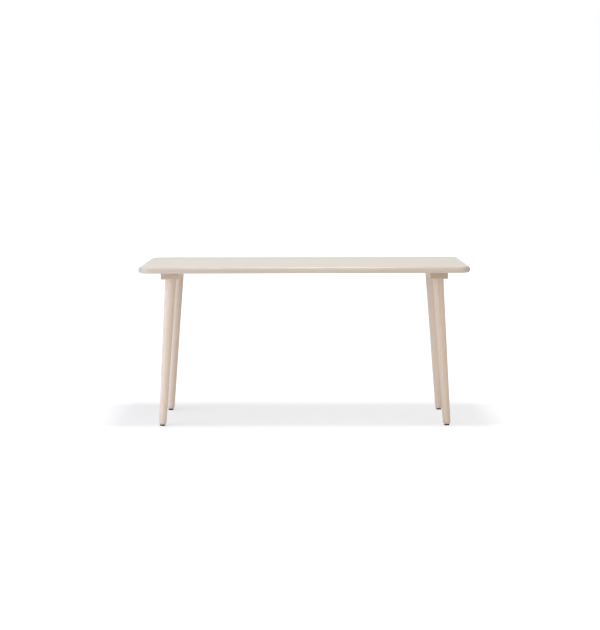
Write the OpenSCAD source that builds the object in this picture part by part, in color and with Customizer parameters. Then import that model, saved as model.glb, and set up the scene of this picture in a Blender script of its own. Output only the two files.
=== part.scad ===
// Communion table: an edge-glued birch top bolted to two leg frames.
// Each frame is a flat batten with two round, tapered legs wedged into it.
// Millimetres, +Z up. The origin is on the floor under the middle of the top,
// X runs along the table and -Y is the front.

/* [Top] */
// Length of the top
top_l = 1500; // [1300:10:1800]
// Depth of the top
top_w = 700; // [700:10:900]
// Height of the upper face above the floor
table_h = 740; // [700:5:800]
// Thickness of the top
top_t = 30; // [28:1:36]
// Plan radius of the four corners
corner_r = 55; // [30:5:70]
// Radius along the upper edge
upper_edge_r = 14; // [8:1:15]
// Radius along the lower edge
lower_edge_r = 12; // [8:1:12]

/* [Battens] */
// Width of a batten
batten_w = 80; // [70:1:100]
// Thickness of a batten
batten_t = 30; // [26:1:34]
// Distance of a batten's ends from the top's front and rear edges
batten_inset = 50; // [40:5:55]
// Distance of a batten's centre line from the table's middle
batten_x = 610; // [520:1:620]
// Radius of a batten's worked edges
batten_edge_r = 4; // [2:1:8]

/* [Legs] */
// Diameter of a leg at the batten
leg_top_d = 51; // [44:1:60]
// Diameter of a leg above the rounded foot
leg_foot_d = 35; // [32:1:40]
// How far a foot stands further out than the leg's top, along the table
leg_splay = 45; // [0:1:60]
// Distance of the legs from the table's middle, front to rear
leg_y = 228; // [200:2:235]
// Diameter of the tenon that goes through the batten
tenon_d = 30; // [26:1:34]
// Height of the rounded end of a leg
foot_round_h = 14; // [8:1:20]

/* [Glides] */
// Diameter of a glide
glide_d = 24; // [20:1:26]
// Height of a glide
glide_h = 6.5; // [5:0.5:8]

/* [Fasteners] */
// Distance of the outer bolts from a batten's ends
outer_bolt_inset = 25; // [20:1:28]
// Distance of the inner bolts from the table's middle
inner_bolt_y = 100; // [80:5:130]
// Depth of the bolt recesses in a batten's underside
bolt_recess = 12; // [11:0.5:14]
// Travel that the slotted holes leave for the top to swell and shrink
slot_travel = 6; // [3:0.5:8]

/* [Hidden] */
$fn = 64;

SIDES = ["left", "right"];
ROWS = ["front", "rear"];
STAVES = 7;

stave_w = top_w / STAVES;
top_bottom = table_h - top_t;
batten_bottom = top_bottom - batten_t;
batten_l = top_w - 2 * batten_inset;
splay_angle = atan(leg_splay / batten_bottom);
leg_length = (batten_bottom - glide_h) / cos(splay_angle);
glide_x = batten_x + (batten_bottom - glide_h) * tan(splay_angle);

// Radii of a leg, and of the arc that rounds it in to the glide
leg_r = leg_top_d / 2;
foot_r = leg_foot_d / 2;
foot_inset = foot_r - glide_d / 2 - 1;
foot_arc_r = (foot_inset * foot_inset + foot_round_h * foot_round_h) / (2 * foot_inset);
foot_z = foot_round_h - leg_length;

// Wedge in the head of each tenon: thick end, thin end and depth
wedge_thick = 4;
wedge_thin = 1;
wedge_depth = 24;

// M6 bolt with a button head, its washer and its threaded insert
bolt_r = 3;
bolt_l = 30;
bolt_head_r = 5.25;
bolt_head_h = 3.3;
bolt_socket = 4;
bolt_socket_h = 2;
bolt_tip = 1;
washer_r = 9;
washer_bore_r = 3.2;
washer_t = 1.6;
insert_r = 5;
insert_l = 15;
insert_bore_r = 3.05;
insert_hole_l = 16;
bolt_hole_r = 3.5;
recess_r = 9.5;
recess_top = batten_bottom + bolt_recess;

// Wood screw that holds a glide
glide_screw_r = 2;
glide_screw_l = 25;
glide_screw_head_r = 4;
glide_screw_head_h = 2.4;
glide_screw_tip = 4;
glide_screw_cross = 4.4;
glide_screw_cross_w = 1.2;
glide_screw_cross_h = 1.4;
glide_bore_r = 2.2;
glide_recess_r = 5;
glide_recess_h = 3.2;
glide_edge_r = 1.2;

// Overlap that lets a cut pass clear through a face
over = 1;

outer_bolt_y = batten_l / 2 - outer_bolt_inset;
BOLT_Y = [-outer_bolt_y, -inner_bolt_y, 0, inner_bolt_y, outer_bolt_y];
BOLTS = len(BOLT_Y);

// -1 for the left side or the front row, +1 for the right side or the rear row
function sign_of(name) = name == "left" || name == "front" ? -1 : 1;

// Bar outline on y = 0 with its lower and upper corners rounded; an upper radius of 0 leaves them square
module soft_outline(half, h, low_r, high_r) {
    translate([-half, low_r]) square([2 * half, h - low_r - high_r]);
    translate([low_r - half, 0]) square([2 * (half - low_r), low_r + over]);
    for (s = [-1, 1]) translate([s * (half - low_r), low_r]) circle(low_r);
    if (high_r > 0) {
        translate([high_r - half, h - high_r - over]) square([2 * (half - high_r), high_r + over]);
        for (s = [-1, 1]) translate([s * (half - high_r), h - high_r]) circle(high_r);
    }
}

// Outline of the top's thickness, rounded at both ends
module top_outline(half) {
    soft_outline(half, top_t, lower_edge_r, upper_edge_r);
}

// The part of that outline between x = inner and its right-hand end
module edge_outline(inner, outer) {
    intersection() {
        top_outline(outer);
        translate([inner, 0]) square([outer - inner, top_t]);
    }
}

// Half outline of a domed head of radius r and height h, below y = 0
module dome_outline(r, h) {
    dome_r = (r * r + h * h) / (2 * h);
    intersection() {
        translate([0, dome_r - h]) circle(dome_r);
        translate([0, -h]) square([r, h]);
    }
}

// Extrudes an outline of X and Z from y = from to y = to
module along_y(from, to) {
    translate([0, to, 0]) rotate([90, 0, 0]) linear_extrude(to - from) children();
}

// Extrudes an outline of Y and Z from x = from to x = to
module along_x(from, to) {
    translate([from, 0, 0]) rotate([90, 0, 90]) linear_extrude(to - from) children();
}

// A stave that runs clear across the middle of the top
module inner_stave(middle) {
    along_y(middle - stave_w / 2, middle + stave_w / 2) top_outline(top_l / 2);
}

// The rear stave, with the long rounded edge and two of the top's corners
module edge_stave() {
    corner_x = top_l / 2 - corner_r;
    corner_y = top_w / 2 - corner_r;
    along_y(top_w / 2 - stave_w, corner_y) top_outline(top_l / 2);
    along_x(-corner_x, corner_x) edge_outline(corner_y, top_w / 2);
    for (s = [-1, 1])
        translate([s * corner_x, corner_y, 0]) rotate([0, 0, s > 0 ? 0 : 90])
            rotate_extrude(angle = 90) edge_outline(0, corner_r);
}

module top_stave(i) {
    middle = (i - (STAVES + 1) / 2) * stave_w;
    color("#e6dccf") difference() {
        translate([0, 0, top_bottom])
            if (i == STAVES) edge_stave();
            else if (i == 1) mirror([0, 1, 0]) edge_stave();
            else inner_stave(middle);
        for (x = [-batten_x, batten_x], y = BOLT_Y)
            if (abs(y - middle) < stave_w / 2)
                translate([x, y, top_bottom - over]) cylinder(r = insert_r, h = insert_hole_l + over);
    }
}

// A bore, or a slot that runs front to rear where travel is above 0
module bolt_way(r, h, travel) {
    if (travel > 0) {
        for (s = [-1, 1]) translate([0, s * travel / 2, 0]) cylinder(r = r, h = h);
        translate([-r, -travel / 2, 0]) cube([2 * r, travel, h]);
    } else {
        cylinder(r = r, h = h);
    }
}

// Places its children on a leg's axis, with the batten's underside at z = 0
module on_leg_axis(side, row) {
    translate([side * batten_x, row * leg_y, batten_bottom])
        rotate([0, -side * splay_angle, 0]) children();
}

// The cylinder that a tenon fills, left long at both ends
module tenon_blank() {
    translate([0, 0, -batten_t]) cylinder(d = tenon_d, h = 3 * batten_t);
}

// A block between two heights, as wide as a leg needs
module between(side, row, from, to) {
    reach = leg_splay + leg_top_d;
    translate([side * batten_x - reach, row * leg_y - reach, from])
        cube([2 * reach, 2 * reach, to - from]);
}

module batten(side) {
    color("#d9c9b8") difference() {
        translate([side * batten_x, 0, batten_bottom]) intersection() {
            along_y(-batten_l / 2, batten_l / 2) soft_outline(batten_w / 2, batten_t, batten_edge_r, 0);
            along_x(-batten_w / 2, batten_w / 2) soft_outline(batten_l / 2, batten_t, batten_edge_r, 0);
            linear_extrude(batten_t) translate([0, -batten_l / 2])
                soft_outline(batten_w / 2, batten_l, batten_edge_r, batten_edge_r);
        }
        for (row = [-1, 1]) on_leg_axis(side, row) tenon_blank();
        for (y = BOLT_Y) translate([side * batten_x, y, batten_bottom]) {
            travel = y == 0 ? 0 : slot_travel;
            translate([0, 0, -over]) bolt_way(recess_r, bolt_recess + over, travel);
            bolt_way(bolt_hole_r, batten_t + over, travel);
        }
    }
}

// The wedge before it is trimmed to the tenon, on the leg's axis
module wedge_blank() {
    top = batten_t / cos(splay_angle) + tenon_d / 2 * tan(splay_angle) + over;
    bottom = batten_t - wedge_depth;
    half_thick = wedge_thick / 2;
    half_thin = wedge_thin / 2;
    along_x(-tenon_d, tenon_d)
        polygon([[-half_thin, bottom], [half_thin, bottom], [half_thick, top], [-half_thick, top]]);
}

// Half outline of the turned leg: a straight taper, then the rounded foot
module leg_outline() {
    polygon([[0, leg_r], [leg_r, leg_r], [leg_r, 0], [foot_r, foot_z], [0, foot_z]]);
    intersection() {
        translate([foot_r - foot_arc_r, foot_z]) circle(foot_arc_r);
        translate([0, foot_z - foot_round_h - glide_h]) square([foot_r, foot_round_h + glide_h]);
    }
}

module leg(side, row) {
    color("#e3d5c6") difference() {
        union() {
            intersection() {
                on_leg_axis(side, row) rotate_extrude() leg_outline();
                between(side, row, glide_h, batten_bottom);
            }
            intersection() {
                on_leg_axis(side, row) tenon_blank();
                between(side, row, batten_bottom - batten_t / 2, top_bottom);
            }
        }
        on_leg_axis(side, row) wedge_blank();
        translate([side * glide_x, row * leg_y, 0])
            cylinder(r = glide_screw_r, h = glide_recess_h + glide_screw_l);
    }
}

module wedge(side, row) {
    color("#b98a5e") intersection() {
        on_leg_axis(side, row) wedge_blank();
        on_leg_axis(side, row) tenon_blank();
        between(side, row, batten_bottom - batten_t, top_bottom);
    }
}

module glide(side, row) {
    glide_r = glide_d / 2;
    straight = glide_r - glide_edge_r;
    color("#161616") translate([side * glide_x, row * leg_y, 0]) rotate_extrude() {
        translate([glide_recess_r, 0]) square([straight - glide_recess_r, glide_recess_h]);
        translate([straight, glide_edge_r]) circle(glide_edge_r);
        translate([glide_recess_r, glide_edge_r]) square([glide_r - glide_recess_r, glide_recess_h]);
        translate([glide_bore_r, glide_recess_h]) square([glide_r - glide_bore_r, glide_h - glide_recess_h]);
    }
}

module glide_screw(side, row) {
    shank = glide_screw_l - glide_screw_tip;
    color("#b9bcc0") translate([side * glide_x, row * leg_y, glide_recess_h]) difference() {
        rotate_extrude() {
            dome_outline(glide_screw_head_r, glide_screw_head_h);
            polygon([[0, 0], [glide_screw_r, 0], [glide_screw_r, shank], [0, glide_screw_l]]);
        }
        for (a = [0, 90]) rotate([0, 0, a])
            translate([-glide_screw_cross / 2, -glide_screw_cross_w / 2, -glide_screw_head_h - over])
                cube([glide_screw_cross, glide_screw_cross_w, glide_screw_cross_h + over]);
    }
}

module bolt(side, i) {
    color("#b9bcc0") translate([side * batten_x, BOLT_Y[i - 1], recess_top - washer_t]) difference() {
        rotate_extrude() {
            dome_outline(bolt_head_r, bolt_head_h);
            square([bolt_r, bolt_l - bolt_tip]);
            polygon([[0, bolt_l - bolt_tip], [bolt_r, bolt_l - bolt_tip], [bolt_r - bolt_tip, bolt_l],
                [0, bolt_l]]);
        }
        translate([0, 0, -bolt_head_h - over])
            cylinder(d = bolt_socket / cos(30), h = bolt_socket_h + over, $fn = 6);
    }
}

module washer(side, i) {
    color("#c9ccd0") translate([side * batten_x, BOLT_Y[i - 1], recess_top - washer_t]) difference() {
        cylinder(r = washer_r, h = washer_t);
        translate([0, 0, -over]) cylinder(r = washer_bore_r, h = washer_t + 2 * over);
    }
}

module insert(side, i) {
    color("#c8a65a") translate([side * batten_x, BOLT_Y[i - 1], top_bottom]) difference() {
        cylinder(r = insert_r, h = insert_l);
        translate([0, 0, -over]) cylinder(r = insert_bore_r, h = insert_l + 2 * over);
    }
}

for (i = [1:STAVES]) top_stave(i);

for (s = SIDES) {
    side = sign_of(s);
    batten(side);
    for (r = ROWS) {
        row = sign_of(r);
        leg(side, row);
        wedge(side, row);
        glide(side, row);
        glide_screw(side, row);
    }
    for (i = [1:BOLTS]) {
        bolt(side, i);
        washer(side, i);
        insert(side, i);
    }
}
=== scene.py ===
"""The looks of the communion table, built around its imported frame. Everything is in metres."""
import math
import random

import bmesh
import bpy
from mathutils import Matrix, Vector


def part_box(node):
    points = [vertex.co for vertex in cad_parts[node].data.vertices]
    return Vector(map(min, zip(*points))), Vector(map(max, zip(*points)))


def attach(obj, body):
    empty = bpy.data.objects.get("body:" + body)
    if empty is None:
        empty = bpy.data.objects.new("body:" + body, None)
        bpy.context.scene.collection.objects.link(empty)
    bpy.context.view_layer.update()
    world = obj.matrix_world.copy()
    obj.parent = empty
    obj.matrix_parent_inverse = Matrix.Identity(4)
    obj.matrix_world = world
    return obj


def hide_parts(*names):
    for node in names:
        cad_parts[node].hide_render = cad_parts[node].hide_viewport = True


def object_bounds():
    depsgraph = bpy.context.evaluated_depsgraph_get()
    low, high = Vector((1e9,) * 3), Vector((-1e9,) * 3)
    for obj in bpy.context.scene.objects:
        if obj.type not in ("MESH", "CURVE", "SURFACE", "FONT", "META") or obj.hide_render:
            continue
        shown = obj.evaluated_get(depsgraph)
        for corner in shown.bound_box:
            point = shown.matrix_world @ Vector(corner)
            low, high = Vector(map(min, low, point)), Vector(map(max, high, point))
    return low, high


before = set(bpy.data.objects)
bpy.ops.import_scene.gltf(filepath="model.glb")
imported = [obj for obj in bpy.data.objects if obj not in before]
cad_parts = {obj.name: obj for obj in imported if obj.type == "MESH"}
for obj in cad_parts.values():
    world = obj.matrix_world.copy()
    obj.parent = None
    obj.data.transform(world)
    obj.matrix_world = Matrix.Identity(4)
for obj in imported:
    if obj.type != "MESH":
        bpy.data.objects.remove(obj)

cad_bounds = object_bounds()
MM = 0.001

# ---------------------------------------------------------------- sizes of the wooden pieces

CORNER_R = 55 * MM  # plan radius of the top's corners
UPPER_EDGE_R = 14 * MM  # along the top's upper edge
LOWER_EDGE_R = 12 * MM
BATTEN_EDGE_R = 4 * MM
LEG_R = 25.5 * MM  # leg radius at the batten
FOOT_R = 17.5 * MM  # and where the rounded foot starts
FOOT_ROUND_H = 14 * MM
FOOT_INSET = 4.5 * MM  # how far the foot rounds in
TENON_R = 15 * MM
WEDGE_THICK = 4 * MM
WEDGE_THIN = 1 * MM
WEDGE_DEPTH = 24 * MM
INSERT_R = 5 * MM
INSERT_HOLE_L = 16 * MM
RECESS_R = 9.5 * MM  # bolt recess in a batten's underside
RECESS_H = 12 * MM
RIM = 0.5 * MM  # softened rim of that recess
BOLT_HOLE_R = 3.5 * MM
SLOT_TRAVEL = 6 * MM
GLIDE_SCREW_R = 2 * MM
OVER = 1 * MM  # how far a cutter reaches past the face that it opens

# Facets round the top's lower and upper edges, its corners, a leg, its taper and its rounded foot
LOWER_STEPS, UPPER_STEPS, CORNER_STEPS = 12, 14, 28
LEG_SIDES, TAPER_STEPS, FOOT_STEPS = 96, 24, 12

STAVES = 7
BOLTS = 5
SIDES = {"left": -1, "right": 1}
ROWS = ("front", "rear")

top_low, top_high = cad_bounds[0].copy(), cad_bounds[1].copy()
top_low.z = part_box("top_stave_4")[0].z
top_t = top_high.z - top_low.z
batten_bottom, batten_top = (corner.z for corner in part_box("left_batten"))
batten_t = batten_top - batten_bottom


def middle(node):
    low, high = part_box(node)
    return (low + high) / 2


# ---------------------------------------------------------------- mesh helpers

def new_object(name, data):
    piece = bpy.data.objects.new(name, data)
    bpy.context.scene.collection.objects.link(piece)
    return piece


def mesh_of(name, verts, faces):
    """A closed mesh from points and faces, with its normals turned outward."""
    mesh = bpy.data.meshes.new(name)
    build = bmesh.new()
    points = [build.verts.new(v) for v in verts]
    for face in faces:
        build.faces.new([points[i] for i in face])
    bmesh.ops.recalc_face_normals(build, faces=build.faces)
    build.to_mesh(mesh)
    build.free()
    return mesh


def box_mesh(name, low, high):
    corners = [(x, y, z) for x in (low.x, high.x) for y in (low.y, high.y) for z in (low.z, high.z)]
    faces = [(0, 1, 3, 2), (4, 5, 7, 6), (0, 1, 5, 4), (2, 3, 7, 6), (0, 2, 6, 4), (1, 3, 7, 5)]
    return mesh_of(name, corners, faces)


def arc(radius, start, end, steps):
    """Cosine and sine, times radius, along an arc given in degrees."""
    angles = [math.radians(start + (end - start) * i / steps) for i in range(steps + 1)]
    return [(radius * math.cos(a), radius * math.sin(a)) for a in angles]


def circle(radius, sides):
    """Points of a full circle, without the first one again at its end."""
    return arc(radius, 0, 360 - 360 / sides, sides - 1)


def loft(name, rings, hollow=False):
    """A closed body through rings of equal length. It has end caps, or joins its last ring to its first."""
    count = len(rings[0])
    verts = [p for ring in rings for p in ring]
    faces = []
    for k in range(len(rings) - 1):
        for i in range(count):
            j = (i + 1) % count
            faces.append((k * count + i, k * count + j, (k + 1) * count + j, (k + 1) * count + i))
    last = (len(rings) - 1) * count
    if hollow:
        faces += [(last + i, last + (i + 1) % count, (i + 1) % count, i) for i in range(count)]
    else:
        faces += [tuple(range(count)), tuple(last + i for i in range(count))]
    return mesh_of(name, verts, faces)


def bore(place, radius, low, high, sides):
    """An upright round cutter between two heights."""
    outline = [(place.x + c, place.y + s) for c, s in circle(radius, sides)]
    return loft("bore", [[(x, y, z) for x, y in outline] for z in (low, high)])


def carve(piece, cutters):
    """Cuts each mesh out of the piece."""
    tools = []
    for mesh in cutters:
        tool = new_object("cutter", mesh)
        cut = piece.modifiers.new("cut", "BOOLEAN")
        cut.operation, cut.solver, cut.object = "DIFFERENCE", "EXACT", tool
        tools.append(tool)
    bpy.context.view_layer.update()
    graph = bpy.context.evaluated_depsgraph_get()
    shaped = bpy.data.meshes.new_from_object(piece.evaluated_get(graph))
    piece.modifiers.clear()
    piece.data = shaped
    for tool in tools:
        bpy.data.objects.remove(tool)


def soften_shading(piece, crease=32):
    """Smooth shading that breaks at edges sharper than crease degrees and keeps flat faces flat."""
    build = bmesh.new()
    build.from_mesh(piece.data)
    bmesh.ops.remove_doubles(build, verts=build.verts, dist=MM / 1000)
    for face in build.faces:
        face.smooth = True
    for edge in build.edges:
        edge.smooth = len(edge.link_faces) == 2 and edge.calc_face_angle(0) < math.radians(crease)
    build.to_mesh(piece.data)
    build.free()
    weigh = piece.modifiers.new("even_normals", "WEIGHTED_NORMAL")
    weigh.keep_sharp = True
    weigh.weight = 100


def set_grain(piece, pith, along, across, tone, warmth):
    """Says where the piece lay in its tree: a point on the pith, the grain's direction and one across it.
    Tone and warmth are the board's own colour."""
    along = along.normalized()
    across = (across - along * across.dot(along)).normalized()
    third = along.cross(across)
    mesh = piece.data
    place = mesh.attributes.new("grain", "FLOAT_VECTOR", "POINT")
    axis = mesh.attributes.new("grain_axis", "FLOAT_VECTOR", "POINT")
    board = mesh.attributes.new("board", "FLOAT_VECTOR", "POINT")
    for i, vert in enumerate(mesh.vertices):
        p = vert.co - pith
        place.data[i].vector = (p.dot(along), p.dot(across), p.dot(third))
        axis.data[i].vector = along
        board.data[i].vector = (tone, warmth, 0)


def settle(piece, slot, *nodes):
    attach(piece, "root")
    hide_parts(*nodes)


# ---------------------------------------------------------------- shader helpers

class Shader:
    """A material and short ways to add nodes to it."""

    def __init__(self, name):
        self.material = bpy.data.materials.new(name)
        self.material.use_nodes = True
        self.tree = self.material.node_tree
        self.tree.nodes.clear()
        self.surface = self.add("ShaderNodeBsdfPrincipled")
        out = self.add("ShaderNodeOutputMaterial")
        self.tree.links.new(self.surface.outputs[0], out.inputs[0])

    def fill(self, socket, value):
        """Links a socket to another one, or gives it a plain value."""
        if isinstance(value, bpy.types.NodeSocket):
            self.tree.links.new(value, socket)
        else:
            socket.default_value = value

    def add(self, kind, inputs=None, **settings):
        node = self.tree.nodes.new(kind)
        for key, value in settings.items():
            setattr(node, key, value)
        for key, value in (inputs or {}).items():
            self.fill(node.inputs[key], value)
        return node

    def attribute(self, name):
        return self.add("ShaderNodeAttribute", attribute_name=name).outputs["Vector"]

    def split(self, vector):
        return self.add("ShaderNodeSeparateXYZ", {0: vector}).outputs

    def math(self, operation, a, b=0.0, c=0.0):
        return self.add("ShaderNodeMath", {0: a, 1: b, 2: c}, operation=operation).outputs[0]

    def mix_in(self, value, share, total):
        """Adds a share of value to total."""
        return self.math("MULTIPLY_ADD", value, share, total)

    def vector(self, operation, a, b=(0, 0, 0), c=(0, 0, 0)):
        inputs = {0: a, 1: b, 2: c} if operation == "MULTIPLY_ADD" else {0: a, 1: b}
        node = self.add("ShaderNodeVectorMath", inputs, operation=operation)
        return node.outputs["Value" if operation in ("LENGTH", "DOT_PRODUCT") else "Vector"]

    def noise(self, place, scale, detail=2.0, rough=0.5, colour=False):
        """Noise with its own scale along each axis of place, in repeats per metre."""
        spread = self.vector("MULTIPLY", place, scale)
        node = self.add("ShaderNodeTexNoise", {"Vector": spread, "Scale": 1.0, "Detail": detail,
                                               "Roughness": rough})
        return node.outputs["Color" if colour else 0]

    def line_noise(self, value):
        """Noise along a single value."""
        return self.add("ShaderNodeTexNoise", {"W": value, "Scale": 1.0, "Detail": 2.0},
                        noise_dimensions="1D").outputs[0]

    def ramp(self, value, low, high, to_low=0.0, to_high=1.0, smooth=True):
        node = self.add("ShaderNodeMapRange", {"Value": value, "From Min": low, "From Max": high,
                                               "To Min": to_low, "To Max": to_high},
                        interpolation_type="SMOOTHSTEP" if smooth else "LINEAR")
        return node.outputs["Result"]

    def blend(self, factor, a, b, mode="MIX"):
        """Two colours blended; plain ones are given as red, green and blue."""
        node = self.add("ShaderNodeMix", data_type="RGBA", blend_type=mode)
        self.fill(node.inputs[0], factor)
        for key, value in ((6, a), (7, b)):
            self.fill(node.inputs[key], value if isinstance(value, bpy.types.NodeSocket) else (*value, 1.0))
        return node.outputs[2]

    def tint(self, colour, by):
        return self.blend(1.0, colour, by, "MULTIPLY")

    def bump(self, height_mm):
        return self.add("ShaderNodeBump", {"Height": height_mm, "Distance": MM, "Strength": 1.0}).outputs[0]

    def set(self, **values):
        """Sets or links inputs of the surface, named with underscores for spaces."""
        for key, value in values.items():
            self.fill(self.surface.inputs[key.replace("_", " ")], value)


# ---------------------------------------------------------------- birch

# The grain wanders across itself: slowly, and in a quick ripple. Repeats per metre along and across it.
SWAY_SCALE, SWAY = (1.3, 7, 7), 30 * MM
RIPPLE_SCALE, RIPPLE = (9, 40, 40), 2.2 * MM
TAPER = 0.011  # how fast the log widens along its length
RINGS_PER_M = 330
UNEVEN_PER_M, UNEVEN = 130, 2.2  # good and bad years, as a wander of the ring count
LATE_SHARE = 0.42  # how dark a ring's late wood is

# Repeats per metre along and across the grain, detail and roughness of each layer of the figure
LAYERS = {"broad": ((1.1, 22, 22), 2.0, 0.5), "flame": ((19, 6, 6), 2.0, 0.55),
          "fibre": ((16, 620, 620), 3.0, 0.6), "hair": ((55, 2600, 2600), 2.0, 0.6)}
LAYER_SHADES = {"broad": 0.66, "flame": 0.15, "fibre": 0.42, "hair": 0.24}
PORE_SCALE, FLECK_SCALE = (240, 4300, 4300), (42, 760, 760)
PORE_SHADE, FLECK_SHADE = 0.22, 0.35
FLECK_COLOUR = (0.36, 0.22, 0.13)
BASE_SHADE = 0.16
COOL_BOARD, WARM_BOARD = (0.985, 1.0, 1.02), (1.015, 0.998, 0.965)
# A darker tint for the burnished edges: painted shade that tones down their highlight.
BURNISH_SHADE_COLOUR = (0.86, 0.875, 0.885)

# Roughness of the oiled wood, and how its marks change it
ROUGH, BROAD_ROUGH, BURNISH_ROUGH, PORE_ROUGH, CUT_ROUGH = 0.50, 0.16, -0.06, 0.10, 0.12
# Relief in millimetres
FIBRE_RELIEF, HAIR_RELIEF, LATE_RELIEF, PORE_RELIEF, FLAME_RELIEF = 0.030, 0.012, 0.010, -0.035, 0.010


def centred(s, value):
    return s.math("SUBTRACT", value, 0.5)


def wandering_grain(s, place):
    """The place in the log, bent so that straight ring lines become long arches on a flat face."""
    bent = place
    for scale, size, detail, rough in ((SWAY_SCALE, SWAY, 1.5, 0.4), (RIPPLE_SCALE, RIPPLE, 1.0, 0.5)):
        drift = s.vector("SUBTRACT", s.noise(place, scale, detail, rough, colour=True), (0.5, 0.5, 0.5))
        bent = s.vector("MULTIPLY_ADD", drift, (0.0, size, size), bent)
    return bent


def late_wood(s, bent):
    """The dark end of each growth ring: 0 in early wood, and up to 1 in late wood."""
    radius = s.vector("LENGTH", s.vector("MULTIPLY", bent, (0, 1, 1)))
    radius = s.mix_in(s.split(bent)[0], TAPER, radius)
    uneven = s.line_noise(s.math("MULTIPLY", radius, UNEVEN_PER_M))
    ring = s.mix_in(uneven, UNEVEN, s.math("MULTIPLY", radius, RINGS_PER_M))
    part = s.math("FRACT", ring)
    own = s.add("ShaderNodeTexWhiteNoise", {"W": s.math("FLOOR", ring)}, noise_dimensions="1D")
    year = own.outputs["Value"]
    late = s.math("MULTIPLY", s.ramp(part, 0.45, 0.93), s.ramp(part, 0.94, 1.0, 1.0, 0.0))
    return s.math("MULTIPLY", late, s.ramp(year, 0, 1, 0.35, 1.0, smooth=False))


def wood(name, light, dark, end_tint, rings=1.0, painted_reflection=None, sheen=0.0):
    """Birch seen in the round: rings about a pith, fibres, pores and pith flecks, all in one 3-D field.
    The painted reflection tints broad upward faces paler and cooler, as the bright surroundings would reflect
    in them, and rings scales how clearly the rings show."""
    s = Shader(name)
    place, axis = s.attribute("grain"), s.attribute("grain_axis")
    tone, warmth, _ = s.split(s.attribute("board"))
    bent = wandering_grain(s, place)
    late = late_wood(s, bent)
    layer = {key: s.noise(bent, *how) for key, how in LAYERS.items()}
    pore = s.ramp(s.noise(bent, PORE_SCALE, 1.0, 0.5), 0.64, 0.74)
    fleck = s.ramp(s.noise(bent, FLECK_SCALE, 1.5, 0.5), 0.745, 0.80)

    shade = s.math("MULTIPLY", late, LATE_SHARE * rings)
    for key, share in LAYER_SHADES.items():
        shade = s.mix_in(centred(s, layer[key]), share, shade)
    shade = s.math("ADD", s.mix_in(pore, PORE_SHADE, shade), BASE_SHADE)
    shade.node.use_clamp = True
    colour = s.blend(shade, light, dark)
    colour = s.blend(s.math("MULTIPLY", fleck, FLECK_SHADE), colour, FLECK_COLOUR)
    colour = s.tint(colour, s.blend(warmth, COOL_BOARD, WARM_BOARD))
    colour = s.tint(colour, s.add("ShaderNodeCombineColor", {0: tone, 1: tone, 2: tone}).outputs[0])

    # Cut across, the fibres drink in more of the oil and look darker.
    normal = s.add("ShaderNodeNewGeometry").outputs["Normal"]
    cut = s.ramp(s.math("ABSOLUTE", s.vector("DOT_PRODUCT", normal, axis)), 0.25, 0.95)
    colour = s.blend(cut, colour, s.tint(colour, end_tint))

    upward = s.split(normal)[2]
    # Painted reflection: broad upward faces are tinted as the bright surroundings would reflect in them.
    if painted_reflection:
        colour = s.blend(s.ramp(upward, 0.85, 0.99), colour, s.tint(colour, painted_reflection))

    # Hands and cloths wear the rounded upper edges smooth, in patches, which lowers their roughness; the
    # darker colour there is painted shade that tones down the edges' highlight.
    rounded = s.math("MULTIPLY", s.ramp(upward, 0.12, 0.45), s.ramp(upward, 0.86, 0.98, 1.0, 0.0))
    patches = s.ramp(s.noise(place, (9, 60, 60), 3.0, 0.6), 0.35, 0.65, 0.25, 1.0)
    burnish_and_shade = s.math("MULTIPLY", rounded, patches)
    colour = s.blend(burnish_and_shade, colour, s.tint(colour, BURNISH_SHADE_COLOUR))

    rough = s.mix_in(centred(s, layer["broad"]), BROAD_ROUGH, ROUGH)
    for value, share in ((burnish_and_shade, BURNISH_ROUGH), (pore, PORE_ROUGH), (cut, CUT_ROUGH)):
        rough = s.mix_in(value, share, rough)
    height = s.math("MULTIPLY", layer["fibre"], FIBRE_RELIEF)
    for value, share in ((layer["hair"], HAIR_RELIEF), (late, LATE_RELIEF), (pore, PORE_RELIEF),
                         (layer["flame"], FLAME_RELIEF)):
        height = s.mix_in(value, share, height)
    s.set(Base_Color=colour, Roughness=rough, Normal=s.bump(height), IOR=1.5, Coat_Weight=0.9,
          Coat_Roughness=0.42, Coat_IOR=1.5, Sheen_Weight=sheen, Sheen_Roughness=0.4,
          Sheen_Tint=(0.86, 1.0, 1.02, 1))
    return s.material


top_wood = wood("birch_top", light=(0.772, 0.690, 0.626), dark=(0.555, 0.450, 0.364),
                end_tint=(0.76, 0.77, 0.78), painted_reflection=(0.99, 1.055, 1.08), sheen=0.34)
# The batten's birch is paler than the legs': painted light that brightens its long sides in the shade under
# the top.
batten_wood = wood("birch_batten", light=(0.90, 0.78, 0.68), dark=(0.645, 0.515, 0.413),
                   end_tint=(0.71, 0.655, 0.586))
leg_wood = wood("birch_leg", light=(0.820, 0.728, 0.643), dark=(0.615, 0.489, 0.386),
                end_tint=(0.70, 0.62, 0.55))
wedge_wood = wood("wedge_hardwood", light=(0.42, 0.27, 0.16), dark=(0.24, 0.14, 0.075),
                  end_tint=(0.70, 0.66, 0.62), rings=1.3)

# ---------------------------------------------------------------- nylon and metal

SOLE = (0.1 * MM, 0.6 * MM)  # the height over which a glide's scuffs fade out
TURN_OUT, TURN_ALONG = 9000, 7000  # turning rings per metre, out from the axis and along it

# Painted shade darkens the middle of a bolt's or screw's head, in the driver socket. It fades out over this
# radius, and in over this height, where z = 0 is the head's flat side.
SOCKET_SHADE_REACH, SOCKET_SHADE_HEIGHT = (2.15 * MM, 2.35 * MM), (-3.1 * MM, -2.1 * MM)
SOCKET_SHADE, SOCKET_SHADE_COLOUR = 0.75, (0.12, 0.115, 0.11)


def around(s, place):
    """Distance from a turned piece's axis, and its height."""
    return s.vector("LENGTH", s.vector("MULTIPLY", place, (1, 1, 0))), s.split(place)[2]


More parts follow.
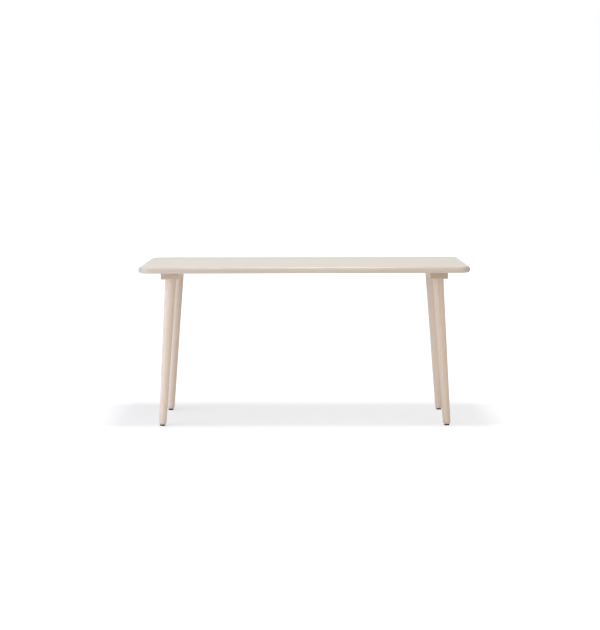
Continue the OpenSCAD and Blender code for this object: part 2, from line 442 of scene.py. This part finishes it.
def moulded_nylon():
    """Black nylon with a cloudy skin, scuffed where it slides on the floor."""
    s = Shader("black_nylon")
    place = s.attribute("grain")
    _, height = around(s, place)
    cloud = s.noise(place, (160, 160, 160), 3.0, 0.55)
    spark = s.noise(place, (2400, 2400, 2400), 2.0, 0.5)
    scratch = s.ramp(s.noise(place, (150, 2600, 900), 2.0, 0.6), 0.56, 0.72)
    underside = s.ramp(height, *SOLE, 1.0, 0.0)
    scuff = s.math("MULTIPLY", underside, s.math("MULTIPLY_ADD", scratch, 0.7, 0.15))
    colour = s.blend(cloud, (0.003, 0.003, 0.0035), (0.009, 0.009, 0.0095))
    colour = s.blend(scuff, colour, (0.07, 0.068, 0.064))
    rough = s.mix_in(scuff, 0.30, s.ramp(cloud, 0.3, 0.7, 0.40, 0.52))
    groove = s.math("MULTIPLY", scratch, s.math("MULTIPLY", underside, -0.03))
    relief = s.mix_in(spark, 0.012, groove)
    s.set(Base_Color=colour, Roughness=rough, Normal=s.bump(relief), IOR=1.53, Specular_IOR_Level=0.2)
    return s.material


def metal(name, light, dark, stain, rough_range):
    """Turned and plated metal: fine rings round its axis, a cloudy skin, faint stains and painted shade in a
    head's driver socket.
    """
    s = Shader(name)
    place = s.attribute("grain")
    radius, height = around(s, place)
    ring = s.line_noise(s.mix_in(radius, TURN_OUT, s.math("MULTIPLY", height, TURN_ALONG)))
    cloud = s.noise(place, (420, 420, 420), 3.0, 0.6)
    patch = s.ramp(s.noise(place, (130, 130, 130), 2.0, 0.5), 0.55, 0.75)
    colour = s.blend(s.math("MULTIPLY", patch, 0.5), s.blend(cloud, dark, light), stain)
    # Painted shade in the driver socket, where the recess would lie in shadow.
    inside = s.math("MULTIPLY", s.ramp(radius, *SOCKET_SHADE_REACH, 1.0, 0.0), s.ramp(height, *SOCKET_SHADE_HEIGHT))
    colour = s.blend(s.math("MULTIPLY", inside, SOCKET_SHADE), colour, SOCKET_SHADE_COLOUR)
    rough = s.ramp(s.mix_in(ring, 0.4, s.math("MULTIPLY", cloud, 0.6)), 0.3, 0.7, *rough_range)
    relief = s.mix_in(ring, 0.006, s.math("MULTIPLY", cloud, 0.004))
    s.set(Base_Color=colour, Metallic=1.0, Roughness=rough, Normal=s.bump(relief))
    return s.material


nylon = moulded_nylon()
zinc = metal("zinc_plate", light=(0.74, 0.75, 0.77), dark=(0.55, 0.56, 0.58), stain=(0.62, 0.60, 0.52),
             rough_range=(0.24, 0.42))
brass = metal("turned_brass", light=(0.83, 0.66, 0.36), dark=(0.68, 0.50, 0.24), stain=(0.48, 0.34, 0.18),
              rough_range=(0.24, 0.44))

# ---------------------------------------------------------------- camera

CAMERA_PLACE = Vector((0.0181, -7.5356, 1.2572))
PITCH, YAW, ROLL = 0.10177, -0.00521, -0.00288  # radians
LENS, SENSOR = 91.73, 36  # mm


def add_camera():
    ahead = Vector((math.sin(YAW), math.cos(YAW), 0))
    right = Vector((math.cos(YAW), -math.sin(YAW), 0))
    down = Vector((0, 0, -1))
    forward = ahead * math.cos(PITCH) + down * math.sin(PITCH)
    up = ahead * math.sin(PITCH) - down * math.cos(PITCH)
    rolled_right = right * math.cos(ROLL) + up * math.sin(ROLL)
    rolled_up = up * math.cos(ROLL) - right * math.sin(ROLL)
    camera = new_object("camera", bpy.data.cameras.new("camera"))
    camera.data.lens = LENS
    camera.data.sensor_width = SENSOR
    camera.data.clip_end = 100
    turn = Matrix((rolled_right, rolled_up, -forward)).transposed().to_4x4()
    camera.matrix_world = Matrix.Translation(CAMERA_PLACE) @ turn
    bpy.context.scene.camera = camera
    bpy.context.scene.view_settings.view_transform = "Standard"


add_camera()

# ---------------------------------------------------------------- floor and light

FLOOR_HALF = 30
FLOOR_TONE = 0.80
# The floor glows a little, painted light that only the camera sees, so that it meets the white backdrop
# without an edge. It also sets the look of the table's shadow: less glow near the table and on the left,
# where the window lamp lights it, and more in front of the table and behind it, which trims the shadow's
# front and rear edges.
GLOW_COLOUR = (0.89, 1.005, 1.135, 1)
NEAR_GLOW, FAR_GLOW, GLOW_REACH = 0.363, 0.64, (1.2, 4.0)
WINDOW_GLOW, WINDOW_REACH = 0.12, (-1.3, 0.3)
EDGE_GLOW, EDGE_MIDDLE, EDGE_REACH = 0.13, 0.08, (0.26, 0.40)

SKY_COLOUR = (1.08, 0.985, 0.885, 1)
SKY_BASE = 0.585  # a soft sky all round, brighter or dimmer toward each of these directions
SKY_LOBES = {(-1, 0, 0): 0.20, (1, 0, 0): -0.05, (0, -1, 0): 0.22, (0, 1, 0): 0.06}


def add_floor():
    mesh = bpy.data.meshes.new("floor")
    h = FLOOR_HALF
    mesh.from_pydata([(-h, -h, 0), (h, -h, 0), (h, h, 0), (-h, h, 0)], [], [(0, 1, 2, 3)])
    floor = new_object("floor", mesh)
    s = Shader("studio_floor")
    place = s.add("ShaderNodeTexCoord").outputs["Object"]
    x, y, _ = s.split(place)
    glow = s.ramp(s.vector("LENGTH", place), *GLOW_REACH, NEAR_GLOW, FAR_GLOW)
    glow = s.math("SUBTRACT", glow, s.ramp(x, *WINDOW_REACH, WINDOW_GLOW, 0.0))
    beyond = s.math("ABSOLUTE", s.math("SUBTRACT", y, EDGE_MIDDLE))
    # Painted light that trims the shadow's front and rear edges.
    glow = s.math("ADD", glow, s.ramp(beyond, *EDGE_REACH, 0.0, EDGE_GLOW))
    # The glow is seen but lights nothing, and the floor can be looked through from below.
    seen = s.add("ShaderNodeLightPath").outputs["Is Camera Ray"]
    below = s.add("ShaderNodeNewGeometry").outputs["Backfacing"]
    s.set(Base_Color=(FLOOR_TONE, FLOOR_TONE, FLOOR_TONE, 1), Roughness=0.9, Specular_IOR_Level=0.0,
          Emission_Color=GLOW_COLOUR, Emission_Strength=s.math("MULTIPLY", glow, seen),
          Alpha=s.math("SUBTRACT", 1.0, below))
    mesh.materials.append(s.material)


def add_sky():
    world = bpy.data.worlds.new("studio")
    bpy.context.scene.world = world
    world.use_nodes = True
    tree = world.node_tree
    tree.nodes.clear()

    def add(kind, inputs=None, **settings):
        node = tree.nodes.new(kind)
        for key, value in settings.items():
            setattr(node, key, value)
        for key, value in (inputs or {}).items():
            if isinstance(value, bpy.types.NodeSocket):
                tree.links.new(value, node.inputs[key])
            else:
                node.inputs[key].default_value = value
        return node

    direction = add("ShaderNodeTexCoord").outputs["Generated"]
    level = SKY_BASE
    for toward, gain in SKY_LOBES.items():
        facing = add("ShaderNodeVectorMath", {0: direction, 1: toward}, operation="DOT_PRODUCT")
        lobe = add("ShaderNodeMath", {0: facing.outputs["Value"], 1: 0.0}, operation="MAXIMUM").outputs[0]
        level = add("ShaderNodeMath", {0: lobe, 1: gain, 2: level}, operation="MULTIPLY_ADD").outputs[0]
    lit = add("ShaderNodeBackground", {"Color": SKY_COLOUR, "Strength": level}).outputs[0]
    white = add("ShaderNodeBackground", {"Color": (1, 1, 1, 1), "Strength": 1.0}).outputs[0]
    seen = add("ShaderNodeLightPath").outputs["Is Camera Ray"]
    add("ShaderNodeOutputWorld", {0: add("ShaderNodeMixShader", {0: seen, 1: lit, 2: white}).outputs[0]})


def area_light(name, place, aim, size, watts, colour):
    light = bpy.data.lights.new(name, "AREA")
    light.shape, light.size, light.size_y = "RECTANGLE", *size
    light.energy, light.color = watts, colour
    lamp = new_object(name, light)
    lamp.location = place
    lamp.rotation_euler = (Vector(aim) - Vector(place)).to_track_quat("-Z", "Y").to_euler()
    return lamp


add_floor()
add_sky()
area_light("overhead_softbox", place=(0.04, -0.42, 3.8), aim=(0, 0, 0), size=(0.8, 0.4), watts=44,
           colour=(0.985, 1.0, 1.015))
window = area_light("left_window", place=(-2.3, -0.9, 0.68), aim=(-0.6, 0, 0.55), size=(2.0, 1.3), watts=13.2,
                    colour=(0.79, 1.02, 1.50))
window.visible_glossy = False  # it would show as a glare on the top from the right-hand end

# ---------------------------------------------------------------- the top

LOG_REACH = 9  # metres of log, either way, that a piece's place is drawn from
rng = random.Random(41)


def edge_profile():
    """(inset, height) up the top's edge, from its underside to its upper face."""
    low = [(LOWER_EDGE_R - c, LOWER_EDGE_R + s) for c, s in arc(LOWER_EDGE_R, -90, 0, LOWER_STEPS)]
    high = [(UPPER_EDGE_R - c, top_t - UPPER_EDGE_R + s) for c, s in arc(UPPER_EDGE_R, 0, 90, UPPER_STEPS)]
    return low + high


def inner_stave_mesh(name, front, rear):
    profile = edge_profile()
    outline = [(top_high.x - inset, top_low.z + h) for inset, h in profile]
    outline += [(top_low.x + inset, top_low.z + h) for inset, h in reversed(profile)]
    return loft(name, [[(x, y, z) for x, z in outline] for y in (front, rear)])


def edge_stave_mesh(name, glued, outer):
    """A stave with the long rounded edge at y = outer, two plan corners, and its glued side at y = glued."""
    side = 1 if outer > glued else -1
    corner_x, corner_y = top_high.x - CORNER_R, outer - side * CORNER_R
    path = [((top_high.x, glued), (1, 0))]
    path += [((corner_x + CORNER_R * c, corner_y + side * CORNER_R * s), (c, side * s))
             for c, s in arc(1, 0, 90, CORNER_STEPS)]
    path += [((-x, y), (-nx, ny)) for (x, y), (nx, ny) in reversed(path)]
    profile = edge_profile()
    verts, faces = [], []
    for (x, y), (nx, ny) in path:
        verts += [(x - nx * inset, y - ny * inset, top_low.z + h) for inset, h in profile]
    n = len(profile)
    for i in range(len(path) - 1):
        for j in range(n - 1):
            faces.append((i * n + j, i * n + n + j, i * n + n + j + 1, i * n + j + 1))
    underside = [i * n for i in range(len(path))]
    last = (len(path) - 1) * n
    faces += [underside, [i + n - 1 for i in underside]]
    faces.append(list(range(n)) + [last + j for j in reversed(range(n))])
    return mesh_of(name, verts, faces)


def insert_holes(low, high):
    """Cutters for the threaded inserts that fall within a stave."""
    places = [middle(f"{s}_insert_{i}") for s in SIDES for i in range(1, BOLTS + 1)]
    return [bore(p, INSERT_R, top_low.z - OVER, top_low.z + INSERT_HOLE_L, 48)
            for p in places if low.y < p.y < high.y]


def add_stave(i):
    node = f"top_stave_{i}"
    low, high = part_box(node)
    if i == 1:
        mesh = edge_stave_mesh(node, high.y, low.y)
    elif i == STAVES:
        mesh = edge_stave_mesh(node, low.y, high.y)
    else:
        mesh = inner_stave_mesh(node, low.y, high.y)
    stave = new_object(f"birch_stave_{i}", mesh)
    carve(stave, insert_holes(low, high))
    soften_shading(stave)
    stave.data.materials.append(top_wood)
    # The pith lies 50 to 100 mm above or below the board's underside.
    pith = Vector((rng.uniform(-LOG_REACH, LOG_REACH), (low.y + high.y) / 2 + rng.uniform(-0.05, 0.05),
                   top_low.z + rng.choice((-1, 1)) * rng.uniform(0.05, 0.10)))
    lean = Vector((1, rng.uniform(-0.012, 0.012), rng.uniform(-0.02, 0.02)))
    set_grain(stave, pith, lean, Vector((0, 1, 0)), rng.uniform(0.95, 1.03), rng.random())
    settle(stave, "top_wood", node)


for number in range(1, STAVES + 1):
    add_stave(number)

# ---------------------------------------------------------------- battens

BATTEN_PITH = (18 * MM, 45 * MM)  # outward from the batten's middle, and below its underside
TENON_WAY = (-20 * MM, 60 * MM)  # from below the batten to above it, along the leg's axis


def stadium(radius, travel, steps=24):
    """Outline of a slot that runs along Y."""
    near = [(c, s - travel / 2) for c, s in arc(radius, 180, 360, steps)]
    far = [(c, s + travel / 2) for c, s in arc(radius, 0, 180, steps)]
    return near + far if travel else near[:-1] + far[:-1]


def bolt_cutter(place, travel):
    """A bolt's recess with a softened rim, and its way on through the batten."""
    rings = []
    for z, r in ((batten_bottom - OVER, RECESS_R + OVER + RIM), (batten_bottom + RIM, RECESS_R),
                 (batten_bottom + RECESS_H, RECESS_R), (batten_bottom + RECESS_H, BOLT_HOLE_R),
                 (batten_top + OVER, BOLT_HOLE_R)):
        rings.append([(place.x + x, place.y + y, z) for x, y in stadium(r, travel)])
    return loft("bolt_way", rings)


def leg_frame(row, side):
    """Where a leg's axis meets the batten's underside and the glide, and its direction up from the foot."""
    glide_low, glide_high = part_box(f"{row}_{side}_glide")
    glide = (glide_low + glide_high) / 2
    head = Vector((middle(f"{side}_batten").x, glide.y, batten_bottom))
    foot = Vector((glide.x, glide.y, glide_high.z))
    return head, foot, (head - foot).normalized()


def tilted(head, up_axis):
    """Turns (x, y, height along the axis) into a point of the row frame."""
    cross = Vector((up_axis.z, 0, -up_axis.x))
    return lambda x, y, h: head + cross * x + Vector((0, y, 0)) + up_axis * h


def tenon_cutter(row, side):
    head, _, up_axis = leg_frame(row, side)
    at = tilted(head, up_axis)
    return loft("tenon_way", [[at(c, s, h) for c, s in circle(TENON_R, 72)] for h in TENON_WAY])


def round_worked_edges(mesh, top_z):
    """Rounds every edge of a batten but the four that lie against the top."""
    build = bmesh.new()
    build.from_mesh(mesh)
    worked = [e for e in build.edges if min(v.co.z for v in e.verts) < top_z - MM]
    bmesh.ops.bevel(build, geom=worked, offset=BATTEN_EDGE_R, segments=10, profile=0.5, affect="EDGES",
                    clamp_overlap=False)
    build.to_mesh(mesh)
    build.free()


def add_batten(side, outward):
    node = f"{side}_batten"
    low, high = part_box(node)
    mesh = box_mesh(node, low, high)
    round_worked_edges(mesh, high.z)
    batten = new_object(f"birch_batten_{side}", mesh)
    cutters = [tenon_cutter(row, side) for row in ROWS]
    for place in (middle(f"{side}_bolt_{i}") for i in range(1, BOLTS + 1)):
        cutters.append(bolt_cutter(place, SLOT_TRAVEL if abs(place.y) > MM else 0))
    carve(batten, cutters)
    soften_shading(batten)
    batten.data.materials.append(batten_wood)
    aside, under = BATTEN_PITH
    pith = Vector(((low.x + high.x) / 2 + outward * aside, rng.uniform(-LOG_REACH, LOG_REACH), low.z - under))
    lean = Vector((0.006 * outward, 1, 0.01))
    set_grain(batten, pith, lean, Vector((1, 0, 0)), rng.uniform(0.97, 1.02), 0.5)
    settle(batten, "batten_wood", node)


for side_name, side_sign in SIDES.items():
    add_batten(side_name, side_sign)

# ---------------------------------------------------------------- legs

CUT_TRIES = 12  # more than enough for a level cut to settle


def leg_radius(h, length):
    """Radius of the turned leg at height h along its axis, with h = 0 under the batten."""
    foot_h = FOOT_ROUND_H - length
    if h >= 0:
        return LEG_R
    if h >= foot_h:
        return LEG_R + (FOOT_R - LEG_R) * h / foot_h
    round_r = (FOOT_INSET ** 2 + FOOT_ROUND_H ** 2) / (2 * FOOT_INSET)
    return FOOT_R - round_r + math.sqrt(max(round_r ** 2 - (h - foot_h) ** 2, 0))


def cut_height(at, radius_at, angle, level, start):
    """How far along the axis a line of the leg's surface meets the level plane. It closes in from start."""
    h = start
    for _ in range(CUT_TRIES):
        r = radius_at(h)
        h += (level - at(r * math.cos(angle), r * math.sin(angle), h).z)
    return h


def tenon_rings(at, angles):
    """The tenon's upper and lower ends, both cut level."""
    rings = []
    for level, start in ((batten_top, batten_t), (batten_bottom, 0)):
        heights = [cut_height(at, lambda h: TENON_R, a, level, start) for a in angles]
        rings.append([at(TENON_R * math.cos(a), TENON_R * math.sin(a), h) for a, h in zip(angles, heights)])
    return rings


def body_rings(at, angles, length, foot_z):
    """Rings from the shoulder under the batten down to the glide, with both ends cut level."""
    tops = [cut_height(at, lambda h: leg_radius(h, length), a, batten_bottom, 0) for a in angles]
    ends = [cut_height(at, lambda h: leg_radius(h, length), a, foot_z, -length) for a in angles]
    rounded = FOOT_ROUND_H / length
    shares = [k / TAPER_STEPS * (1 - rounded) for k in range(TAPER_STEPS + 1)]
    shares += [1 - rounded * (1 - k / FOOT_STEPS) for k in range(1, FOOT_STEPS + 1)]
    rings = []
    for share in shares:
        ring = []
        for a, top_h, end_h in zip(angles, tops, ends):
            h = top_h + (end_h - top_h) * share
            r = leg_radius(h, length)
            ring.append(at(r * math.cos(a), r * math.sin(a), h))
        rings.append(ring)
    return rings


def kerf_cutter(at, up_axis):
    """The saw cut that the wedge fills: wedge-shaped, and clear out through the tenon's end."""
    low_h = batten_t - WEDGE_DEPTH
    high_h = batten_t / up_axis.z + TENON_R * abs(up_axis.x) / up_axis.z + OVER
    outline = [(-WEDGE_THIN / 2, low_h), (WEDGE_THIN / 2, low_h),
               (WEDGE_THICK / 2, high_h), (-WEDGE_THICK / 2, high_h)]
    return loft("kerf", [[at(x, y, h) for y, h in outline] for x in (-2 * TENON_R, 2 * TENON_R)])


def add_leg(row, side):
    node = f"{row}_{side}_leg"
    head, foot, up_axis = leg_frame(row, side)
    length = (head - foot).length
    at = tilted(head, up_axis)
    angles = [2 * math.pi * k / LEG_SIDES for k in range(LEG_SIDES)]
    rings = tenon_rings(at, angles) + body_rings(at, angles, length, foot.z)
    leg = new_object(f"turned_leg_{row}_{side}", loft(node, rings))
    screw_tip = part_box(f"{row}_{side}_glide_screw")[1].z
    carve(leg, [kerf_cutter(at, up_axis), bore(foot, GLIDE_SCREW_R, foot.z - OVER, screw_tip, 24)])
    soften_shading(leg)
    leg.data.materials.append(leg_wood)
    # The pith lies 50 to 80 mm outside the leg's axis, on any side of it.
    swing = rng.uniform(0, 2 * math.pi)
    away = Vector((math.cos(swing), math.sin(swing), 0)) * rng.uniform(0.05, 0.08)
    pith = head + away + up_axis * rng.uniform(-LOG_REACH, LOG_REACH)
    set_grain(leg, pith, up_axis + away * 0.2, away, rng.uniform(0.98, 1.03), rng.random())
    settle(leg, "leg_wood", node)


for row_name in ROWS:
    for side_name in SIDES:
        add_leg(row_name, side_name)

# ---------------------------------------------------------------- tenon wedges

WEDGE_STEPS = 20
WEDGE_FIT = 0.999  # keeps a wedge's ends just inside the tenon's surface


def add_wedge(row, side):
    node = f"{row}_{side}_wedge"
    head, _, up_axis = leg_frame(row, side)
    at = tilted(head, up_axis)
    low_h = batten_t - WEDGE_DEPTH
    rings = []
    for k in range(WEDGE_STEPS + 1):
        x = TENON_R * math.sin(math.pi * (k / WEDGE_STEPS - 0.5)) * WEDGE_FIT
        reach = math.sqrt(TENON_R ** 2 - x ** 2)
        high_h = cut_height(at, lambda h: x, 0.0, batten_top, batten_t)
        low_y, high_y = min(WEDGE_THIN / 2, reach), min(WEDGE_THICK / 2, reach)
        rings.append([at(x, -low_y, low_h), at(x, low_y, low_h),
                      at(x, high_y, high_h), at(x, -high_y, high_h)])
    wedge = new_object(f"tenon_wedge_{row}_{side}", loft(node, rings))
    soften_shading(wedge)
    wedge.data.materials.append(wedge_wood)
    set_grain(wedge, head + Vector((0.02, 0.05, 0)), up_axis, Vector((0, 1, 0)), 1, 0.5)
    settle(wedge, "wedge_wood", node)


for row_name in ROWS:
    for side_name in SIDES:
        add_wedge(row_name, side_name)

# ---------------------------------------------------------------- glides and fasteners

GLIDE_EDGE_R = 1.2 * MM
GLIDE_RECESS_R = 5 * MM
GLIDE_RECESS_H = 3.2 * MM
GLIDE_BORE_R = 2.2 * MM
BOLT_R = 3 * MM
BOLT_PITCH = 1 * MM
BOLT_THREAD = 0.55 * MM  # depth of a bolt's thread
BOLT_NECK = 2 * MM  # plain shank under a bolt's head
BOLT_HEAD_R = 5.25 * MM
BOLT_HEAD_H = 3.3 * MM
BOLT_SOCKET = 4 * MM
BOLT_SOCKET_H = 2 * MM
WASHER_R = 9 * MM
WASHER_BORE_R = 3.2 * MM
WASHER_T = 1.6 * MM
INSERT_BORE_R = 3.05 * MM
INSERT_PITCH = 3 * MM
INSERT_THREAD = 0.9 * MM
SCREW_PITCH = 1.8 * MM
SCREW_THREAD = 0.65 * MM
SCREW_NECK = 4 * MM
SCREW_HEAD_R = 4 * MM
SCREW_HEAD_H = 2.4 * MM
SCREW_TIP = 4 * MM
# Half length, half width and height, in mm, of one wing of a screw's cross recess, from its face inward
CROSS_WING = ((2.5, 0.7, -3.0), (2.2, 0.6, -2.4), (1.1, 0.35, -1.0))


def turned(name, stations, sides=48, hollow=False):
    """A body turned about the Z axis through (radius, height) stations; a radius may depend on the angle."""
    rings = []
    for radius, z in stations:
        ring = []
        for k in range(sides):
            a = 2 * math.pi * k / sides
            r = radius(a) if callable(radius) else radius
            ring.append((r * math.cos(a), r * math.sin(a), z))
        rings.append(ring)
    return loft(name, rings, hollow)


def thread(crest, root, pitch, start, end, sharp=1.0, per_turn=8):
    """Stations along a screw thread. A sharp of 1 gives even flanks, and more gives narrow crests."""
    def station(z):
        def radius(a):
            wave = abs(((z / pitch - a / (2 * math.pi)) % 1) * 2 - 1)
            return root + (crest - root) * wave ** sharp
        return radius, z
    steps = round(abs(end - start) / pitch * per_turn)
    return [station(start + (end - start) * k / steps) for k in range(steps + 1)]


def dome(radius, height, steps=8):
    """Stations of a domed head below z = 0, from its flattened crown up to its softened rim."""
    ball = (radius ** 2 + height ** 2) / (2 * height)
    stations = []
    for k in range(1, steps + 1):
        z = -height + height * (1 - math.cos(math.pi / 2 * k / steps)) * 0.92
        stations.append((math.sqrt(max(ball ** 2 - (z + height - ball) ** 2, 0)), z))
    return [(stations[0][0] * 0.4, -height)] + stations + [(radius, -0.04 * height), (radius * 0.985, 0.0)]


def bolt_mesh(shank_l):
    root, neck_r = BOLT_R - BOLT_THREAD, BOLT_R - 0.1 * MM
    stations = dome(BOLT_HEAD_R, BOLT_HEAD_H) + [(neck_r, 0.0), (neck_r, BOLT_NECK)]
    stations += thread(BOLT_R, root, BOLT_PITCH, BOLT_NECK + 0.2 * MM, shank_l - MM)
    return turned("bolt", stations + [(root - 0.3 * MM, shank_l)])


def hex_cutter():
    """A bolt's hexagon socket."""
    reach = BOLT_SOCKET / 2 / math.cos(math.radians(30))
    corners = [(reach * math.cos(k * math.pi / 3), reach * math.sin(k * math.pi / 3)) for k in range(6)]
    depths = (-BOLT_HEAD_H - OVER, BOLT_SOCKET_H - BOLT_HEAD_H)
    return loft("socket", [[(x, y, z) for x, y in corners] for z in depths])


def cross_cutter(turn):
    """One wing of a cross recess, wide at the face and narrow further in."""
    rings = []
    for half, wide, z in CROSS_WING:
        corners = [(-half, -wide), (half, -wide), (half, wide), (-half, wide)]
        rings.append([((-y if turn else x) * MM, (x if turn else y) * MM, z * MM) for x, y in corners])
    return loft("cross", rings)


def screw_mesh(length):
    root = GLIDE_SCREW_R - SCREW_THREAD
    neck_r = root + 0.2 * MM
    stations = dome(SCREW_HEAD_R, SCREW_HEAD_H) + [(neck_r, 0.0), (neck_r, SCREW_NECK)]
    body = thread(GLIDE_SCREW_R, root, SCREW_PITCH, SCREW_NECK, length - 0.2 * MM, sharp=2.5, per_turn=12)
    for radius, z in body:
        left = max((length - z) / SCREW_TIP, 0.04)
        stations.append((lambda a, radius=radius, left=left: radius(a) * min(1.0, left), z))
    return turned("screw", stations, sides=40)


def washer_mesh():
    """A stamped washer: its lower edges are rounded and its upper edges nearly sharp."""
    soft, sharp = 0.25 * MM, 0.05 * MM
    outer = [(WASHER_R - soft + c, soft + s) for c, s in arc(soft, -90, 0, 4)]
    outer += [(WASHER_R, WASHER_T - sharp), (WASHER_R - sharp, WASHER_T)]
    inner = [(WASHER_BORE_R, WASHER_T), (WASHER_BORE_R, soft), (WASHER_BORE_R + soft, 0)]
    return turned("washer", outer + inner, sides=72, hollow=True)


def insert_mesh(length):
    root, chamfer = INSERT_R - INSERT_THREAD, 0.5 * MM
    outer = [(root, 0.0), (root, 0.4 * MM)]
    outer += thread(INSERT_R, root, INSERT_PITCH, 0.6 * MM, length - 1.5 * MM, sharp=4, per_turn=16)
    outer += [(INSERT_R - 1.3 * MM, length)]
    inner = [(INSERT_BORE_R, length), (INSERT_BORE_R, chamfer), (INSERT_BORE_R + chamfer, 0.0)]
    return turned("insert", outer + inner, hollow=True)


def glide_mesh(radius, height):
    soft = 0.3 * MM
    under = [(radius - GLIDE_EDGE_R + c, GLIDE_EDGE_R + s) for c, s in arc(GLIDE_EDGE_R, -90, 0, 10)]
    upper = [(radius - soft + c, height - soft + s) for c, s in arc(soft, 0, 90, 4)]
    inner = [(GLIDE_BORE_R, height), (GLIDE_BORE_R, GLIDE_RECESS_H), (GLIDE_RECESS_R, GLIDE_RECESS_H),
             (GLIDE_RECESS_R, soft), (GLIDE_RECESS_R + soft, 0)]
    return turned("glide", under + upper + inner, sides=96, hollow=True)


def place_copies(mesh, name, nodes, material, slot, base_z, cutters=()):
    """Puts a copy of the mesh at each of its nodes, keeping its own coordinates for the material."""
    pattern = new_object(name, mesh)
    if cutters:
        carve(pattern, cutters)
    own = pattern.data.attributes.new("grain", "FLOAT_VECTOR", "POINT")
    for i, vert in enumerate(pattern.data.vertices):
        own.data[i].vector = vert.co
    pattern.data.materials.append(material)
    for suffix, node in nodes.items():
        centre = middle(node)
        piece = new_object(f"{name}_{suffix}", pattern.data.copy())
        piece.data.transform(Matrix.Translation((centre.x, centre.y, base_z)))
        soften_shading(piece, 40)
        settle(piece, slot, node)
    bpy.data.objects.remove(pattern)


def at_feet(part):
    return {f"{row}_{side}": f"{row}_{side}_{part}" for row in ROWS for side in SIDES}


def at_bolts(part):
    return {f"{side}_{i}": f"{side}_{part}_{i}" for side in SIDES for i in range(1, BOLTS + 1)}


def add_glides():
    low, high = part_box("front_left_glide")
    place_copies(glide_mesh((high.x - low.x) / 2, high.z), "foot_glide", at_feet("glide"), nylon,
                 "glide_plastic", 0.0)
    screw_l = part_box("front_left_glide_screw")[1].z - GLIDE_RECESS_H
    place_copies(screw_mesh(screw_l), "pan_head_screw", at_feet("glide_screw"), zinc, "steel", GLIDE_RECESS_H,
                 [cross_cutter(False), cross_cutter(True)])


def add_bolts():
    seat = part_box("left_washer_1")[0].z  # the bolt's head sits under the washer
    bolt_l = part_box("left_bolt_1")[1].z - seat
    place_copies(bolt_mesh(bolt_l), "button_bolt", at_bolts("bolt"), zinc, "steel", seat, [hex_cutter()])
    place_copies(washer_mesh(), "wide_washer", at_bolts("washer"), zinc, "steel", seat)
    low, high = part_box("left_insert_1")
    place_copies(insert_mesh(high.z - low.z), "thread_insert", at_bolts("insert"), brass, "brass", low.z)


add_glides()
add_bolts()
